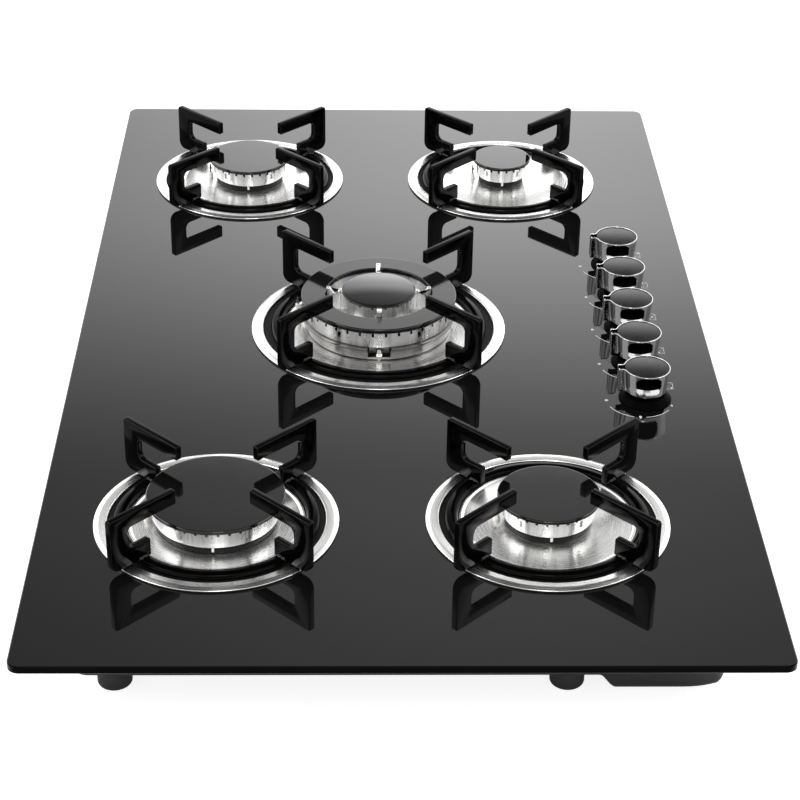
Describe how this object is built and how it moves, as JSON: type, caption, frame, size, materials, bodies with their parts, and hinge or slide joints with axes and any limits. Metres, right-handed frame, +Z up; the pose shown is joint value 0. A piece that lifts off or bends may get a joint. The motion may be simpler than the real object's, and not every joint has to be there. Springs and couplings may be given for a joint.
{
  "type": "gas cooktop",
  "caption": "Built-in gas cooktop with a black glass top, capped burners in steel drip pans, a double-ring wok burner, C-armed pan supports, push-and-turn knobs and a bottom tray.",
  "frame": {"origin": "under the middle of the glass, level with the bottom of the rubber feet", "axes": "+X to the user's right along the long side, +Y to the rear, away from the knobs, +Z up"},
  "size_m": [0.9, 0.51, 0.112],
  "materials": {
    "black_glass": "polished, opaque black",
    "foam": "matt",
    "tray_steel": "satin black",
    "rubber": "matt",
    "polished_steel": "spun and polished",
    "cast_alloy": "rough cast, darkened",
    "bright_alloy": "turned",
    "crown_alloy": "satin",
    "cap_enamel": "satin black enamel",
    "black_enamel": "gloss black enamel",
    "ceramic": "glazed ceramic",
    "sensor_steel": "satin",
    "black_plastic": "gloss",
    "knob_chrome": "bright plated",
    "stem_brass": "turned",
    "spring_steel": "plain",
    "tap_brass": "cast",
    "plated_steel": "zinc plated",
    "pipe_alloy": "drawn",
    "jet_brass": "turned",
    "white_plastic": "moulded"
  },
  "bodies": {
    "cooktop": {"glass_top": "black_glass", "counter_seal": "foam", "base_tray": "tray_steel", "rubber_feet": "rubber", "drip_pans": "polished_steel", "drip_pan_wok": "polished_steel", "burner_bases": "cast_alloy", "burner_base_wok": "bright_alloy", "burner_crowns": "crown_alloy", "crown_wok": "crown_alloy", "igniters": "ceramic", "flame_sensors": "sensor_steel", "knob_bezels": "black_plastic", "gas_taps": "tap_brass", "gas_rail": "plated_steel", "rail_brackets": "plated_steel", "gas_pipes": "pipe_alloy", "injectors": "jet_brass", "pulse_igniter": "white_plastic"},
    "spring_seat_1": {"spring_seat_1": "spring_steel"},
    "knob_1": {"knob_1": "knob_chrome", "tap_stem_1": "stem_brass"},
    "spring_seat_2": {"spring_seat_2": "spring_steel"},
    "knob_2": {"knob_2": "knob_chrome", "tap_stem_2": "stem_brass"},
    "spring_seat_3": {"spring_seat_3": "spring_steel"},
    "knob_3": {"knob_3": "knob_chrome", "tap_stem_3": "stem_brass"},
    "spring_seat_4": {"spring_seat_4": "spring_steel"},
    "knob_4": {"knob_4": "knob_chrome", "tap_stem_4": "stem_brass"},
    "spring_seat_5": {"spring_seat_5": "spring_steel"},
    "knob_5": {"knob_5": "knob_chrome", "tap_stem_5": "stem_brass"},
    "pan_support_rear_left": {"pan_support_rear_left": "black_enamel"},
    "pan_support_front_left": {"pan_support_front_left": "black_enamel"},
    "pan_support_rear_right": {"pan_support_rear_right": "black_enamel"},
    "pan_support_front_right": {"pan_support_front_right": "black_enamel"},
    "pan_support_wok": {"pan_support_wok": "black_enamel"},
    "cap_rear_left": {"cap_rear_left": "cap_enamel"},
    "cap_front_left": {"cap_front_left": "cap_enamel"},
    "cap_rear_right": {"cap_rear_right": "cap_enamel"},
    "cap_front_right": {"cap_front_right": "cap_enamel"},
    "cap_wok_outer": {"cap_wok_outer": "cap_enamel"},
    "cap_wok_inner": {"cap_wok_inner": "cap_enamel"}
  },
  "joints": [
    {"name": "knob_1_push", "type": "slide", "parent": "cooktop", "child": "spring_seat_1", "axis": [0, 0, -1], "range_m": [0, 0.003], "stiffness_N_per_m": 1500, "springref_m": -0.003},
    {"name": "knob_1_turn", "type": "hinge", "parent": "spring_seat_1", "child": "knob_1", "pos_m": [-0.113, -0.194, 0.062], "axis": [0, 0, 1], "range_deg": [0, 170]},
    {"name": "knob_2_push", "type": "slide", "parent": "cooktop", "child": "spring_seat_2", "axis": [0, 0, -1], "range_m": [0, 0.003], "stiffness_N_per_m": 1500, "springref_m": -0.003},
    {"name": "knob_2_turn", "type": "hinge", "parent": "spring_seat_2", "child": "knob_2", "pos_m": [-0.0565, -0.194, 0.062], "axis": [0, 0, 1], "range_deg": [0, 170]},
    {"name": "knob_3_push", "type": "slide", "parent": "cooktop", "child": "spring_seat_3", "axis": [0, 0, -1], "range_m": [0, 0.003], "stiffness_N_per_m": 1500, "springref_m": -0.003},
    {"name": "knob_3_turn", "type": "hinge", "parent": "spring_seat_3", "child": "knob_3", "pos_m": [0, -0.194, 0.062], "axis": [0, 0, 1], "range_deg": [0, 170]},
    {"name": "knob_4_push", "type": "slide", "parent": "cooktop", "child": "spring_seat_4", "axis": [0, 0, -1], "range_m": [0, 0.003], "stiffness_N_per_m": 1500, "springref_m": -0.003},
    {"name": "knob_4_turn", "type": "hinge", "parent": "spring_seat_4", "child": "knob_4", "pos_m": [0.0565, -0.194, 0.062], "axis": [0, 0, 1], "range_deg": [0, 170]},
    {"name": "knob_5_push", "type": "slide", "parent": "cooktop", "child": "spring_seat_5", "axis": [0, 0, -1], "range_m": [0, 0.003], "stiffness_N_per_m": 1500, "springref_m": -0.003},
    {"name": "knob_5_turn", "type": "hinge", "parent": "spring_seat_5", "child": "knob_5", "pos_m": [0.113, -0.194, 0.062], "axis": [0, 0, 1], "range_deg": [0, 170]},
    {"name": "pan_support_rear_left_lift", "type": "slide", "parent": "cooktop", "child": "pan_support_rear_left", "axis": [0, 0, 1], "range_m": [0, 0.06]},
    {"name": "pan_support_front_left_lift", "type": "slide", "parent": "cooktop", "child": "pan_support_front_left", "axis": [0, 0, 1], "range_m": [0, 0.06]},
    {"name": "pan_support_rear_right_lift", "type": "slide", "parent": "cooktop", "child": "pan_support_rear_right", "axis": [0, 0, 1], "range_m": [0, 0.06]},
    {"name": "pan_support_front_right_lift", "type": "slide", "parent": "cooktop", "child": "pan_support_front_right", "axis": [0, 0, 1], "range_m": [0, 0.06]},
    {"name": "pan_support_wok_lift", "type": "slide", "parent": "cooktop", "child": "pan_support_wok", "axis": [0, 0, 1], "range_m": [0, 0.06]},
    {"name": "cap_rear_left_lift", "type": "slide", "parent": "cooktop", "child": "cap_rear_left", "axis": [0, 0, 1], "range_m": [0, 0.008]},
    {"name": "cap_front_left_lift", "type": "slide", "parent": "cooktop", "child": "cap_front_left", "axis": [0, 0, 1], "range_m": [0, 0.04]},
    {"name": "cap_rear_right_lift", "type": "slide", "parent": "cooktop", "child": "cap_rear_right", "axis": [0, 0, 1], "range_m": [0, 0.04]},
    {"name": "cap_front_right_lift", "type": "slide", "parent": "cooktop", "child": "cap_front_right", "axis": [0, 0, 1], "range_m": [0, 0.04]},
    {"name": "cap_wok_outer_lift", "type": "slide", "parent": "cooktop", "child": "cap_wok_outer", "axis": [0, 0, 1], "range_m": [0, 0.0055]},
    {"name": "cap_wok_inner_lift", "type": "slide", "parent": "cooktop", "child": "cap_wok_inner", "axis": [0, 0, 1], "range_m": [0, 0.04]}
  ]
}
